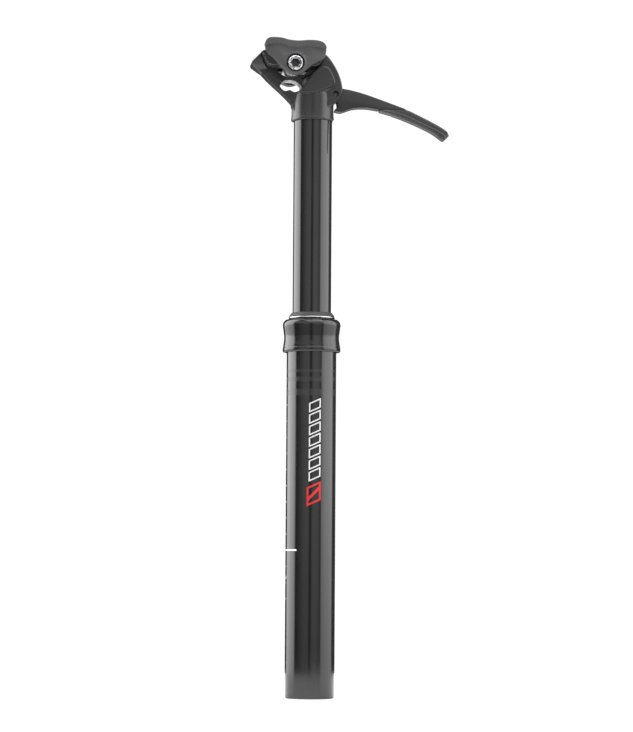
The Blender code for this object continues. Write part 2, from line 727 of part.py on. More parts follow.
def build():
    outer_tube()
    seal_collar()
    dust_wiper()
    collar_rings()
    base_plug()
    base_circlip()
    gas_cylinder()
    cylinder_gland()

    slide = joint_empty("post_slide_axis", z=HEAD_FOOT_Z)
    pivot = joint_empty("lever_pivot_axis", *LEVER_PIVOT, parent=slide)
    pin_slide = joint_empty("release_pin_axis", z=RELEASE_PIN_TOP_Z, parent=slide)
    tilt = joint_empty("clamp_tilt_axis", *TILT_AXIS, parent=slide)
    bolt_axis = joint_empty("clamp_bolt_axis", *BOLT_AXIS, parent=tilt)

    inner_tube()
    guide_keys()
    lower_bushing()
    piston_rod()
    gas_piston()
    rod_lock_nut()
    seatpost_head()
    lever_pivot_pin()
    release_pin()
    lever_arm()
    lever_grip()
    adjuster_screw()
    saddle_cradle()
    clamp_sleeve()
    near_ear = clamp_ear()
    mirrored_copy(near_ear, "far_clamp_ear")
    clamp_bolt()
    clamp_nut()

    keys = [f"guide_key_{i + 1}" for i in range(KEY_COUNT)]
    carried = {
        slide: ["inner_tube", "lower_bushing", "piston_rod", "gas_piston", "piston_seal",
                "rod_lock_nut", "seatpost_head", "lever_pivot_pin"] + keys,
        pivot: ["lever_arm", "lever_grip", "adjuster_screw"],
        pin_slide: ["release_pin"],
        tilt: ["saddle_cradle", "clamp_sleeve", "near_clamp_ear", "far_clamp_ear", "clamp_nut"],
        bolt_axis: ["clamp_bolt"],
    }
    for parent, names in carried.items():
        for name in names:
            hang(PARTS.objects[name], parent)


clear_scene()
PARTS = new_collection(OBJECT_NAME)
CUTTERS = new_collection("cutters")
build()
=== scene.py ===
"""Looks of the height-adjustable seatpost: fine surfaces and materials on the CAD frame.

Lengths in this script are millimetres in the CAD's frame; MM turns them into metres.
+Z runs up the tubes, +X points to the release lever, the camera looks along +Y.
"""
import json
import math

import bmesh
import bpy
from mathutils import Matrix, Vector


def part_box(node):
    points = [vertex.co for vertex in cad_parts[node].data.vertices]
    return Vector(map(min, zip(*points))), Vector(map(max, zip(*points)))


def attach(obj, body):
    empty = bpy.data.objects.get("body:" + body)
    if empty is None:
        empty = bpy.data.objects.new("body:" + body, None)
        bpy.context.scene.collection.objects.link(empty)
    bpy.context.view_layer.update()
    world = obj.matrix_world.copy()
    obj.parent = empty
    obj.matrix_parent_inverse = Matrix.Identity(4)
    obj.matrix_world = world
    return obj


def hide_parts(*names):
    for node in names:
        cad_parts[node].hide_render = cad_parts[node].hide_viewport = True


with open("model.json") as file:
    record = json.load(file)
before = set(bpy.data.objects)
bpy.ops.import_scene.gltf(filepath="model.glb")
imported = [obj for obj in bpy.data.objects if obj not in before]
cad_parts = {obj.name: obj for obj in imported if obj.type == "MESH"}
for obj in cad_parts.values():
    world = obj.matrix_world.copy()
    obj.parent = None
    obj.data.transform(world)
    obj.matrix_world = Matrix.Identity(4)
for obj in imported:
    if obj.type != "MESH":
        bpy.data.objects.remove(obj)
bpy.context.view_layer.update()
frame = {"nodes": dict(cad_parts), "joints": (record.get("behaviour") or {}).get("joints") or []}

MM = 0.001
FINE = 160                      # segments round the tubes
VIEW_TURN = -5.0                # degrees the camera stands round towards -X
THROUGH = 40                    # how far from the middle a tool reaches past the clamp's sides


# ---------------------------------------------------------------- places read from the frame

def extent(node):
    """Lowest and highest corner of a CAD node, in millimetres."""
    low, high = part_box(node)
    return low / MM, high / MM


def radius(node):
    low, high = extent(node)
    return (high.x - low.x) / 2


def joint_place(name):
    """(x, z) of a joint's axis, in millimetres."""
    for joint in frame["joints"]:
        if joint["name"] == name:
            x, _, z = joint["pos_m"]
            return x / MM, z / MM


TILT = joint_place("clamp_tilt")
LEVER = joint_place("lever_pivot")
BOLT = joint_place("clamp_bolt_turn")
ROCKER_R = radius("saddle_cradle") + 0.3
TUBE_R = radius("outer_tube")
COLLAR_R = radius("seal_collar")
INNER_R = radius("inner_tube")
EAR_Y = extent("far_clamp_ear")[1].y
SLEEVE_R = radius("clamp_sleeve")
OUTER_BORE = 13.65
INNER_BORE = 10.2
COLLAR_BORE = 13.6
WEB_Y = 6.0                     # half the thickness of the head's web
EAR_X = -13.3                   # the middle of an ear's rounded face
EAR_PLATE_Y = 21.3              # from the middle to an ear's inner face, below the rails
EAR_BACK_Y = 19.4               # from the middle to an ear's inner face, over the rails
RAIL = (22.0, 400.4)            # y, z of the saddle rails' channels
CHANNEL_R = 3.8
BOLT_HOLE_R = 3.3
SMALL_HOLE_R = 1.8              # for the lever's pivot pin and its adjuster screw


# ---------------------------------------------------------------- mesh helpers

def mesh_object(name, solid):
    mesh = bpy.data.meshes.new(name)
    solid.to_mesh(mesh)
    solid.free()
    obj = bpy.data.objects.new(name, mesh)
    bpy.context.scene.collection.objects.link(obj)
    return obj


def flow(points, steps=4):
    """A closed outline eased through its points; a point marked "corner" stays sharp."""
    count = len(points)
    corners = [i for i, p in enumerate(points) if len(p) > 2]
    places = [Vector(p[:2]) for p in points]
    result = []
    for i in range(count):
        j = (i + 1) % count
        before = places[i] if i in corners else places[i - 1]
        after = places[j] if j in corners else places[(j + 1) % count]
        start, end = places[i], places[j]
        if i in corners and j in corners:
            result.append(tuple(start))
            continue
        for k in range(steps):
            t = k / steps
            a = 2 * start
            b = (end - before) * t
            c = (2 * before - 5 * start + 4 * end - after) * t * t
            d = (3 * start - before - 3 * end + after) * t ** 3
            result.append(tuple((a + b + c + d) / 2))
    return result


def arc(centre, size, start_deg, end_deg, steps):
    """Points round a centre; the angle is measured from straight down, towards +X."""
    points = []
    for i in range(steps + 1):
        turn = math.radians(start_deg + (end_deg - start_deg) * i / steps)
        points.append((centre[0] + size * math.sin(turn), centre[1] - size * math.cos(turn)))
    return points


def prism(name, outline, low_y, high_y):
    """An (x, z) outline made solid between two y values."""
    solid = bmesh.new()
    ring = [solid.verts.new((x * MM, low_y * MM, z * MM)) for x, z in outline]
    face = solid.faces.new(ring)
    grown = bmesh.ops.extrude_face_region(solid, geom=[face])
    far_side = [v for v in grown["geom"] if isinstance(v, bmesh.types.BMVert)]
    bmesh.ops.translate(solid, vec=(0, (high_y - low_y) * MM, 0), verts=far_side)
    bmesh.ops.recalc_face_normals(solid, faces=solid.faces)
    return mesh_object(name, solid)


def lathe(name, profile, segments=FINE):
    """Turn (radius, height) points round Z. A profile that starts off the axis is a ring."""
    closed = profile[0][0] > 0
    solid = bmesh.new()
    columns = []
    poles = {}
    for i in range(segments):
        turn = 2 * math.pi * i / segments
        column = []
        for k, (r, z) in enumerate(profile):
            if r == 0:
                if k not in poles:
                    poles[k] = solid.verts.new((0, 0, z * MM))
                column.append(poles[k])
            else:
                place = (r * math.cos(turn) * MM, r * math.sin(turn) * MM, z * MM)
                column.append(solid.verts.new(place))
        columns.append(column)
    last = len(profile) if closed else len(profile) - 1
    for i in range(segments):
        here, there = columns[i], columns[(i + 1) % segments]
        for k in range(last):
            following = (k + 1) % len(profile)
            corners = [here[k], here[following], there[following], there[k]]
            corners = list(dict.fromkeys(corners))
            if len(corners) > 2:
                solid.faces.new(corners)
    bmesh.ops.recalc_face_normals(solid, faces=solid.faces)
    return mesh_object(name, solid)


def along_y(obj, x, z):
    """Lay a turned piece down: its +Z then points to +Y."""
    turn = Matrix.Rotation(-math.pi / 2, 4, "X")
    obj.data.transform(Matrix.Translation((x * MM, 0, z * MM)) @ turn)
    return obj


def rod(name, size, low, high, segments=48):
    """A plain cylinder along Z."""
    return lathe(name, [(0, high), (size, high), (size, low), (0, low)], segments)


def settle(obj):
    """Apply the object's modifiers to its own mesh."""
    bpy.context.view_layer.update()
    evaluated = obj.evaluated_get(bpy.context.evaluated_depsgraph_get())
    mesh = bpy.data.meshes.new_from_object(evaluated)
    mesh.name = obj.name
    obj.modifiers.clear()
    obj.data = mesh
    return obj


def join(obj, *tools):
    return boolean(obj, tools, "UNION")


def cut(obj, *tools):
    return boolean(obj, tools, "DIFFERENCE")


def cut_bright(obj, *tools):
    """Cut openings whose walls take the piece's second material."""
    for solid in (obj, *tools):
        solid.data.materials.clear()
        for name in ("skin", "wall"):
            stand_in = bpy.data.materials.get(name) or bpy.data.materials.new(name)
            solid.data.materials.append(stand_in)
    for tool in tools:
        tool.data.polygons.foreach_set("material_index", [1] * len(tool.data.polygons))
    return boolean(obj, tools, "DIFFERENCE")


def keep(obj, *tools):
    return boolean(obj, tools, "INTERSECT")


def boolean(obj, tools, operation):
    for tool in tools:
        modifier = obj.modifiers.new(operation, "BOOLEAN")
        modifier.operation = operation
        modifier.solver = "MANIFOLD"
        modifier.object = tool
    settle(obj)
    for tool in tools:
        bpy.data.objects.remove(tool, do_unlink=True)
    return obj


def bevel(obj, width, segments=2, angle=30):
    modifier = obj.modifiers.new("bevel", "BEVEL")
    modifier.width = width * MM
    modifier.segments = segments
    modifier.limit_method = "ANGLE"
    modifier.angle_limit = math.radians(angle)
    modifier.harden_normals = False
    return settle(obj)


def forge(obj, voxel=0.35, rounds=6):
    """Melt a solid's hard inner and outer corners, as a forging's are."""
    remesh = obj.modifiers.new("remesh", "REMESH")
    remesh.mode = "VOXEL"
    remesh.voxel_size = voxel * MM
    smooth = obj.modifiers.new("smooth", "SMOOTH")
    smooth.factor = 0.5
    smooth.iterations = rounds
    return settle(obj)


def shade(obj, angle=32):
    obj.data.shade_smooth()
    obj.data.set_sharp_from_angle(angle=math.radians(angle))
    return obj


def mirrored(obj, name):
    """A copy on the other side of the assembly's middle."""
    mesh = obj.data.copy()
    mesh.name = name
    mesh.transform(Matrix.Scale(-1, 4, (0, 1, 0)))
    mesh.flip_normals()
    copy = bpy.data.objects.new(name, mesh)
    bpy.context.scene.collection.objects.link(copy)
    return copy


def finish_piece(obj, node, body, look, angle=32, wall=None):
    """Shade a piece, give it its material, and put it in place of its CAD node."""
    shade(obj, angle)
    count = len(obj.data.polygons)
    indices = [0] * count
    obj.data.polygons.foreach_get("material_index", indices)
    obj.data.materials.clear()
    obj.data.materials.append(look)
    if wall:
        obj.data.materials.append(wall)
    obj.data.polygons.foreach_set("material_index", indices if wall else [0] * count)
    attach(obj, body)
    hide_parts(node)


# ---------------------------------------------------------------- material helpers

class Tree:
    """Short names for building a node tree. A value is a number, a colour or a node's output."""

    def __init__(self, tree):
        self.tree = tree

    def add(self, kind, **settings):
        node = self.tree.nodes.new(kind)
        for key, value in settings.items():
            setattr(node, key, value)
        return node

    def link(self, value, socket):
        if hasattr(value, "links"):
            self.tree.links.new(value, socket)
        else:
            socket.default_value = value

    def math(self, operation, *values, clamp=False):
        node = self.add("ShaderNodeMath", operation=operation, use_clamp=clamp)
        for value, socket in zip(values, node.inputs):
            self.link(value, socket)
        return node.outputs[0]

    def spread(self, value, low_in, high_in, low_out, high_out):
        """Map one range of numbers onto another, held at both ends."""
        node = self.add("ShaderNodeMapRange")
        node.clamp = True
        for socket, number in zip(node.inputs[1:5], (low_in, high_in, low_out, high_out)):
            socket.default_value = number
        self.link(value, node.inputs[0])
        return node.outputs[0]


class Nodes(Tree):
    """One material's node tree, from its object coordinates to its shader."""

    def __init__(self, name):
        self.material = bpy.data.materials.new(name)
        self.material.use_nodes = True
        super().__init__(self.material.node_tree)
        self.shader = self.tree.nodes["Principled BSDF"]
        self.coords = self.add("ShaderNodeTexCoord").outputs["Object"]

    def axes(self):
        node = self.add("ShaderNodeSeparateXYZ")
        self.link(self.coords, node.inputs[0])
        return node.outputs

    def stretch(self, x=1.0, y=1.0, z=1.0):
        node = self.add("ShaderNodeMapping")
        node.inputs["Scale"].default_value = (x, y, z)
        self.link(self.coords, node.inputs["Vector"])
        return node.outputs[0]

    def noise(self, scale, detail=3.0, roughness=0.5, vector=None):
        node = self.add("ShaderNodeTexNoise")
        node.inputs["Scale"].default_value = scale
        node.inputs["Detail"].default_value = detail
        node.inputs["Roughness"].default_value = roughness
        self.link(vector or self.coords, node.inputs["Vector"])
        return node.outputs["Fac"]

    def mix(self, factor, first, second):
        # sockets 6 and 7 take the colours, and output 2 gives the mixed one
        node = self.add("ShaderNodeMix", data_type="RGBA")
        self.link(factor, node.inputs[0])
        self.link(first, node.inputs[6])
        self.link(second, node.inputs[7])
        return node.outputs[2]

    def bump(self, height, strength, distance, normal=None):
        node = self.add("ShaderNodeBump")
        node.inputs["Strength"].default_value = strength
        node.inputs["Distance"].default_value = distance
        self.link(height, node.inputs["Height"])
        if normal:
            self.link(normal, node.inputs["Normal"])
        return node.outputs[0]

    def set(self, **values):
        """Feed the shader's inputs; an underscore stands for a space."""
        for key, value in values.items():
            self.link(value, self.shader.inputs[key.replace("_", " ")])
        return self


def grey(value, tint=0.0):
    return (value, value, value * (1 + tint), 1.0)


def anodised(name, base=0.005, rough=0.085):
    """Glossy black anodised tube: fine drawn lines and faint handling marks."""
    nodes = Nodes(name)
    lines = nodes.noise(900.0, 2.0, 0.6, nodes.stretch(1.0, 1.0, 0.02))
    smudge = nodes.noise(38.0, 4.0)
    spots = nodes.noise(5200.0, 1.0)
    lines_rough = nodes.spread(lines, 0.35, 0.7, rough - 0.02, rough + 0.03)
    smudge_rough = nodes.spread(smudge, 0.35, 0.75, -0.01, 0.05)
    nodes.set(Base_Color=nodes.mix(smudge, grey(base * 0.7), grey(base * 1.3, 0.05)))
    nodes.set(Roughness=nodes.math("ADD", lines_rough, smudge_rough))
    nodes.set(Normal=nodes.bump(lines, 0.05, 0.00002, nodes.bump(spots, 0.03, 0.00001)))
    nodes.shader.inputs["Metallic"].default_value = 0.0
    nodes.shader.inputs["IOR"].default_value = 1.5
    return nodes


def forged(name, base=0.02, rough=0.36):
    """Satin black forging: orange-peel coat, lighter rubbed edges."""
    nodes = Nodes(name)
    peel = nodes.noise(1400.0, 3.0, 0.55)
    cloud = nodes.noise(60.0, 5.0, 0.6)
    edge = nodes.add("ShaderNodeNewGeometry").outputs["Pointiness"]
    edge_share = nodes.spread(edge, 0.52, 0.62, 0.0, 1.0)
    rub = nodes.math("MULTIPLY", edge_share, nodes.spread(cloud, 0.45, 0.7, 0.0, 0.6))
    body = nodes.mix(cloud, grey(base * 0.8), grey(base * 1.3, 0.03))
    nodes.set(Base_Color=nodes.mix(rub, body, grey(base * 3.5)))
    nodes.set(Roughness=nodes.spread(cloud, 0.3, 0.75, rough - 0.05, rough + 0.08))
    nodes.set(Normal=nodes.bump(peel, 0.12, 0.00004))
    return nodes


def moulded(name, base=0.018, rough=0.5, grain=2600.0):
    """Moulded plastic or rubber with a fine spark-eroded grain."""
    nodes = Nodes(name)
    fine = nodes.noise(grain, 2.0, 0.6)
    cloud = nodes.noise(90.0, 3.0)
    nodes.set(Base_Color=nodes.mix(cloud, grey(base * 0.8), grey(base * 1.3)))
    nodes.set(Roughness=nodes.spread(cloud, 0.3, 0.7, rough - 0.06, rough + 0.06))
    nodes.set(Normal=nodes.bump(fine, 0.25, 0.00006))
    return nodes


def metal(name, colour, rough=0.25, stretch=(1.0, 1.0, 1.0)):
    """Bare turned or ground metal, with fine tool marks and a slight stain."""
    nodes = Nodes(name)
    marks = nodes.noise(2200.0, 2.0, 0.6, nodes.stretch(*stretch))
    stain = nodes.noise(120.0, 4.0)
    darker = tuple(c * 0.8 for c in colour)
    nodes.set(Base_Color=nodes.mix(stain, (*darker, 1.0), (*colour, 1.0)))
    nodes.set(Roughness=nodes.spread(marks, 0.3, 0.7, rough - 0.06, rough + 0.08))
    nodes.set(Normal=nodes.bump(marks, 0.15, 0.00003))
    nodes.shader.inputs["Metallic"].default_value = 1.0
    return nodes


def plated(name):
    """Bright zinc plate, uneven over the knurl, with darker worn patches."""
    nodes = metal(name, (0.62, 0.62, 0.64), 0.14)
    bright = nodes.shader.inputs["Base Color"].links[0].from_socket
    patch = nodes.noise(900.0, 2.0, 0.7)
    nodes.set(Base_Color=nodes.mix(nodes.spread(patch, 0.42, 0.58, 0.0, 0.85), bright, grey(0.06)))
    return nodes


def band(nodes, value, low, high, soft):
    """1 between low and high, fading over soft outside them."""
    rise = nodes.spread(value, low - soft, low, 0.0, 1.0)
    fall = nodes.spread(value, high, high + soft, 1.0, 0.0)
    return nodes.math("MULTIPLY", rise, fall)


def printed_tube(name):
    """The outer tube's finish with its printed insertion scale and a plain slanted graphic."""
    nodes = anodised(name)
    x, y, z = nodes.axes()
    height = nodes.math("MULTIPLY", z, 1000.0)
    angle = nodes.math("ARCTAN2", nodes.math("MULTIPLY", y, -1.0), x)
    turn = nodes.math("MULTIPLY", angle, 180 / math.pi)
    # turn is 90 at the camera's side, 180 or -180 on the -X side, 0 at the lever's side
    back = nodes.math("SUBTRACT", 180.0, nodes.math("ABSOLUTE", turn))
    soft = 0.12                     # how far printed edges blur along the tube, in mm

    def patch(along, low, high, around, left, right, blur):
        """1 in a patch of the tube: low to high in mm, left to right and its blur in degrees."""
        rows = band(nodes, along, low, high, soft)
        return nodes.math("MULTIPLY", rows, band(nodes, around, left, right, blur))

    # the insertion scale on the -X side: its line, its ticks and one heavier mark
    blur = 0.6
    tick_pitch = 10.0
    line = patch(height, 91.1, 91.9, back, -1.0, 51.0, blur)
    step = nodes.math("MODULO", height, tick_pitch)
    in_scale = band(nodes, height, 58.0, 186.0, soft)
    tick = nodes.math("MULTIPLY", band(nodes, step, 1.0, 1.7, soft), in_scale)
    tick = nodes.math("MULTIPLY", tick, band(nodes, back, -1.0, 11.0, blur))
    mark = patch(height, 73.6, 75.4, back, -1.0, 14.0, blur)

    # the column of open white bars on the camera's side
    blur = 0.5
    bar_pitch = 7.1
    across = nodes.math("SUBTRACT", turn, 90.0)
    lean = nodes.math("ADD", height, nodes.math("MULTIPLY", across, 0.12))
    low, high, left, right = 134.2, 183.4, -17.5, 9.5
    cell = nodes.math("MODULO", nodes.math("SUBTRACT", lean, low), bar_pitch)
    bar = patch(cell, 0.7, 6.4, across, left, right, blur)
    inside = patch(cell, 1.5, 5.6, across, left + 3.0, right - 3.0, blur)
    white = nodes.math("SUBTRACT", bar, inside, clamp=True)
    white = nodes.math("MULTIPLY", white, band(nodes, lean, low, high, soft))

    # the red box below them, with one slanted stroke across it
    low, high, left, right = 120.2, 131.8, -18.5, 14.0
    box = patch(lean, low, high, across, left, right, blur)
    hollow = patch(lean, low + 1.3, high - 1.3, across, left + 4.5, right - 4.5, blur)
    steeper = nodes.math("ADD", lean, nodes.math("MULTIPLY", across, 0.16))
    slash = band(nodes, steeper, 124.6, 127.0, soft)
    open_part = nodes.math("MULTIPLY", hollow, nodes.math("SUBTRACT", 1.0, slash))
    red = nodes.math("SUBTRACT", box, open_part, clamp=True)

    # grey stripes right round the tube
    stripes = None
    for low, high in ((187.1, 191.1), (195.8, 198.6), (201.5, 203.0)):
        one = band(nodes, height, low, high, soft)
        stripes = one if stripes is None else nodes.math("ADD", stripes, one)

    body = nodes.shader.inputs["Base Color"].links[0].from_socket
    colour = nodes.mix(nodes.math("MULTIPLY", stripes, 0.5), body, grey(0.022))
    colour = nodes.mix(nodes.math("MULTIPLY", white, 0.85), colour, grey(0.62))
    colour = nodes.mix(red, colour, (0.42, 0.012, 0.012, 1.0))
    faint = nodes.math("MULTIPLY", nodes.math("ADD", tick, mark), 0.35)
    scale = nodes.math("ADD", line, faint, clamp=True)
    colour = nodes.mix(scale, colour, grey(0.7))
    nodes.set(Base_Color=colour)
    gloss = nodes.shader.inputs["Roughness"].links[0].from_socket
    ink = nodes.math("ADD", nodes.math("ADD", scale, white), nodes.math("ADD", red, stripes), clamp=True)
    nodes.set(Roughness=nodes.math("ADD", gloss, nodes.math("MULTIPLY", ink, 0.14)))
    return nodes


LOOKS = {
    "tube": printed_tube("printed_tube").material,
    "gloss": anodised("gloss_tube").material,
    "collar": anodised("gloss_collar", 0.006, 0.1).material,
    "forged": forged("forged_satin", 0.009, 0.3).material,
    # the ears' copy of the forged finish is lighter than the head's: partly its own satin tone, partly
    # painted light for the light the ears catch
    "ear": forged("ear_satin_painted_light", 0.035, 0.42).material,
    "lever": forged("lever_satin", 0.006, 0.32).material,
    "grip": moulded("grip_sleeve", 0.006, 0.36).material,
    "rubber": moulded("wiper_rubber", 0.016, 0.6, 1800.0).material,
    "silver": metal("ring_silver", (0.5, 0.5, 0.52), 0.25).material,
    "bolt": plated("bolt_zinc").material,
    # near-black metal for the hexagon's walls: painted shade inside the bolt's socket
    "socket": metal("bolt_socket_painted_shade", (0.05, 0.05, 0.052), 0.4).material,
    "sleeve": metal("sleeve_turned", (0.92, 0.92, 0.93), 0.5, (1.0, 0.05, 1.0)).material,
    "wall": metal("machined_wall", (0.8, 0.8, 0.82), 0.3, (1.0, 0.05, 1.0)).material,
    "steel": metal("ground_steel", (0.6, 0.6, 0.62), 0.22, (1.0, 1.0, 0.05)).material,
    "pin": metal("pin_blackened", (0.09, 0.09, 0.1), 0.3).material,
    "bare": metal("bare_aluminium", (0.74, 0.74, 0.76), 0.3).material,
    "brass": metal("key_brass", (0.62, 0.45, 0.16), 0.3).material,
    "bushing": moulded("bushing_plastic", 0.6, 0.5, 1500.0).material,
}


# ---------------------------------------------------------------- tubes and collar

def make_outer_tube():
    low, high = extent("outer_tube")
    edge = 0.5
    # a second ring just inside each end keeps the long wall's shading even
    profile = [
        (TUBE_R - 0.3, high.z), (TUBE_R, high.z - 0.3), (TUBE_R, high.z - 1.3),
        (TUBE_R, low.z + 1.5), (TUBE_R, low.z + edge),
        (TUBE_R - 0.15, low.z + 0.15), (TUBE_R - edge, low.z), (OUTER_BORE + 0.4, low.z),
        (OUTER_BORE, low.z + 0.4), (OUTER_BORE, high.z),
    ]
    tube = lathe("outer_tube_skin", profile)
    finish_piece(tube, "outer_tube", "outer_post", LOOKS["tube"])


def make_inner_tube():
    low, high = extent("inner_tube")
    profile = [
        (INNER_R, high.z), (INNER_R, low.z + 1.5), (INNER_R, low.z + 0.4), (INNER_R - 0.4, low.z),
        (INNER_BORE, low.z), (INNER_BORE, high.z),
    ]
    tube = lathe("inner_tube_skin", profile)
    finish_piece(tube, "inner_tube", "inner_post", LOOKS["gloss"])


def make_collar():
    low, high = extent("seal_collar")
    top, foot = high.z, low.z
    waist = top - 11.4
    outer = [
        (13.7, top), (14.4, top - 0.02), (16.3, top - 0.6), (17.4, top - 1.7), (17.82, top - 2.6),
        (COLLAR_R, top - 3.5), (COLLAR_R, top - 4.1), (17.86, top - 5.2), (17.5, top - 8.0),
        (17.2, top - 10.0), (17.1, waist), (17.15, waist - 1.4), (17.35, waist - 3.2),
        (17.65, waist - 5.0), (17.78, waist - 5.9), (17.72, waist - 6.15), (17.8, waist - 6.35),
        (COLLAR_R, waist - 6.7), (COLLAR_R, foot + 1.0), (17.85, foot + 0.4), (17.4, foot),
    ]
    shelf = 227.6
    socket = TUBE_R + 0.3
    inner = [(socket, foot), (socket, shelf), (COLLAR_BORE, shelf), (COLLAR_BORE, top - 0.1)]
    collar = lathe("seal_collar_skin", outer + inner)
    finish_piece(collar, "seal_collar", "outer_post", LOOKS["collar"], 40)


def make_wiper():
    low, high = extent("dust_wiper")
    top = high.z
    lip = radius("dust_wiper")
    profile = [
        (12.25, top), (12.5, top + 0.05), (12.8, top - 0.15), (13.35, top - 0.95),
        (13.8, top - 1.55), (lip, top - 2.05), (lip, top - 2.25), (lip - 0.3, top - 2.4),
        (13.2, top - 2.4), (13.2, low.z), (12.3, low.z),
    ]
    wiper = lathe("dust_wiper_skin", profile)
    finish_piece(wiper, "dust_wiper", "outer_post", LOOKS["rubber"], 50)


def make_wiper_ring():
    low, high = extent("wiper_ring")
    size = radius("wiper_ring")
    half = (high.z - low.z) / 2
    middle = (high.z + low.z) / 2
    bulge = 0.35
    steps = 8
    profile = []
    for i in range(steps + 1):
        turn = math.pi * i / steps
        profile.append((size - bulge + bulge * math.sin(turn), middle + half * math.cos(turn)))
    profile += [(COLLAR_BORE, low.z), (COLLAR_BORE, high.z)]
    ring = lathe("wiper_ring_skin", profile)
    finish_piece(ring, "wiper_ring", "outer_post", LOOKS["silver"], 50)


# ---------------------------------------------------------------- head

def head_web():
    """The plate behind the neck, between the cradle's two halves."""
    outline = flow([
        (-12.0, 364.0, "corner"), (-13.5, 368.4, "corner"), (-13.9, 370.0), (-16.0, 372.4),
        (-20.4, 376.7), (-28.4, 383.9), (-33.6, 389.4), (-36.4, 392.4, "corner"),
        (-31.0, 399.4, "corner"), (5.0, 399.4, "corner"), (9.0, 390.0, "corner"),
        (8.0, 374.0, "corner"), (2.0, 364.0, "corner"),
    ], 5)
    return prism("head_web", outline, -WEB_Y, WEB_Y)


def head_horn():
    """The wedge that widens the web's end, and carries the cradle's rear edge."""
    root = WEB_Y + 0.3
    # x, z, and half the width there
    corners = [
        (-39.4, 394.9, 9.8), (-38.9, 393.3, 9.0), (-33.4, 388.4, 4.5), (-25.4, 392.4, root),
        (-19.6, 398.0, root), (-24.0, 401.9, 11.0), (-32.4, 401.9, 11.0),
    ]
    solid = bmesh.new()
    for x, z, half in corners:
        solid.verts.new((x * MM, -half * MM, z * MM))
        solid.verts.new((x * MM, half * MM, z * MM))
    bmesh.ops.convex_hull(solid, input=solid.verts)
    bmesh.ops.recalc_face_normals(solid, faces=solid.faces)
    bmesh.ops.dissolve_limit(solid, angle_limit=0.02, verts=solid.verts, edges=solid.edges)
    return bevel(mesh_object("head_horn", solid), 0.6, 2, 35)


def head_cheeks():
    """The block that the lever's slot parts into two cheeks round the pivot pin."""
    side = flow([
        (0, 367.5, "corner"), (8.0, 367.5), (11.4, 368.4), (13.4, 370.6), (15.3, 372.9),
        (17.1, 376.0), (17.45, 379.4), (16.6, 383.7), (15.3, 387.6), (13.3, 391.8),
        (10.3, 396.5), (7.4, 399.9, "corner"), (0, 399.9, "corner"),
    ])
    half = 11.0
    return bevel(prism("head_cheeks", side, -half, half), 3.2, 5, 40)


def head_pad(side):
    """The raised, bevelled cheek on each side of the dome."""
    outline = flow([
        (-9.0, 375.6), (-7.0, 375.0), (-2.6, 375.3), (3.2, 376.6), (8.0, 378.6),
        (11.6, 380.6), (12.5, 382.4), (11.6, 385.4), (9.7, 389.6), (7.2, 391.9), (3.1, 391.9),
        (-0.2, 390.6), (-2.4, 387.2), (-4.6, 383.6), (-6.6, 380.2), (-8.6, 377.4),
    ], 3)
    root, face = 8.0, 15.5
    low, high = sorted((side * root, side * face))
    return bevel(prism("head_pad", outline, low, high), 1.9, 3, 60)


def above_web():
    """The space over the web's dipped top edge."""
    shoulder, clear = 398.2, 420.0
    dip = arc(TILT, 10.0, -52, 52, 32)
    outline = dip + [(6.3, shoulder), (6.3, clear), (-33.5, clear), (-33.5, shoulder)]
    return prism("above_web", outline, -WEB_Y - 4, WEB_Y + 4)


def tilt_slot():
    """The web's curved opening for the cross bolt's sleeve."""
    reach = math.hypot(BOLT[0] - TILT[0], BOLT[1] - TILT[1])
    half = SLEEVE_R + 0.4
    sweep = 19.0
    right = arc(TILT, reach, sweep, sweep, 1)[0]
    left = arc(TILT, reach, -sweep, -sweep, 1)[0]
    outline = arc(TILT, reach + half, -sweep, sweep, 24)
    outline += arc(right, half, sweep + 12, sweep + 168, 16)
    outline += arc(TILT, reach - half, sweep, -sweep, 16)
    outline += arc(left, half, 180 - sweep + 12, 180 - sweep + 168, 16)
    return prism("tilt_slot", outline, -9, 9)


def kidney():
    """The window through the web under the cradle."""
    outline = flow([
        (-21.3, 380.5), (-20.5, 382.4), (-19.0, 383.6), (-16.9, 384.2), (-14.6, 384.2),
        (-12.6, 383.8), (-10.6, 383.0), (-8.9, 381.8), (-8.0, 380.2), (-8.2, 378.9),
        (-9.4, 377.5), (-11.4, 376.8), (-13.2, 377.1), (-15.2, 378.0), (-17.0, 377.5),
        (-18.8, 377.6), (-20.3, 378.8),
    ], 4)
    return prism("kidney", outline, -25, 25)


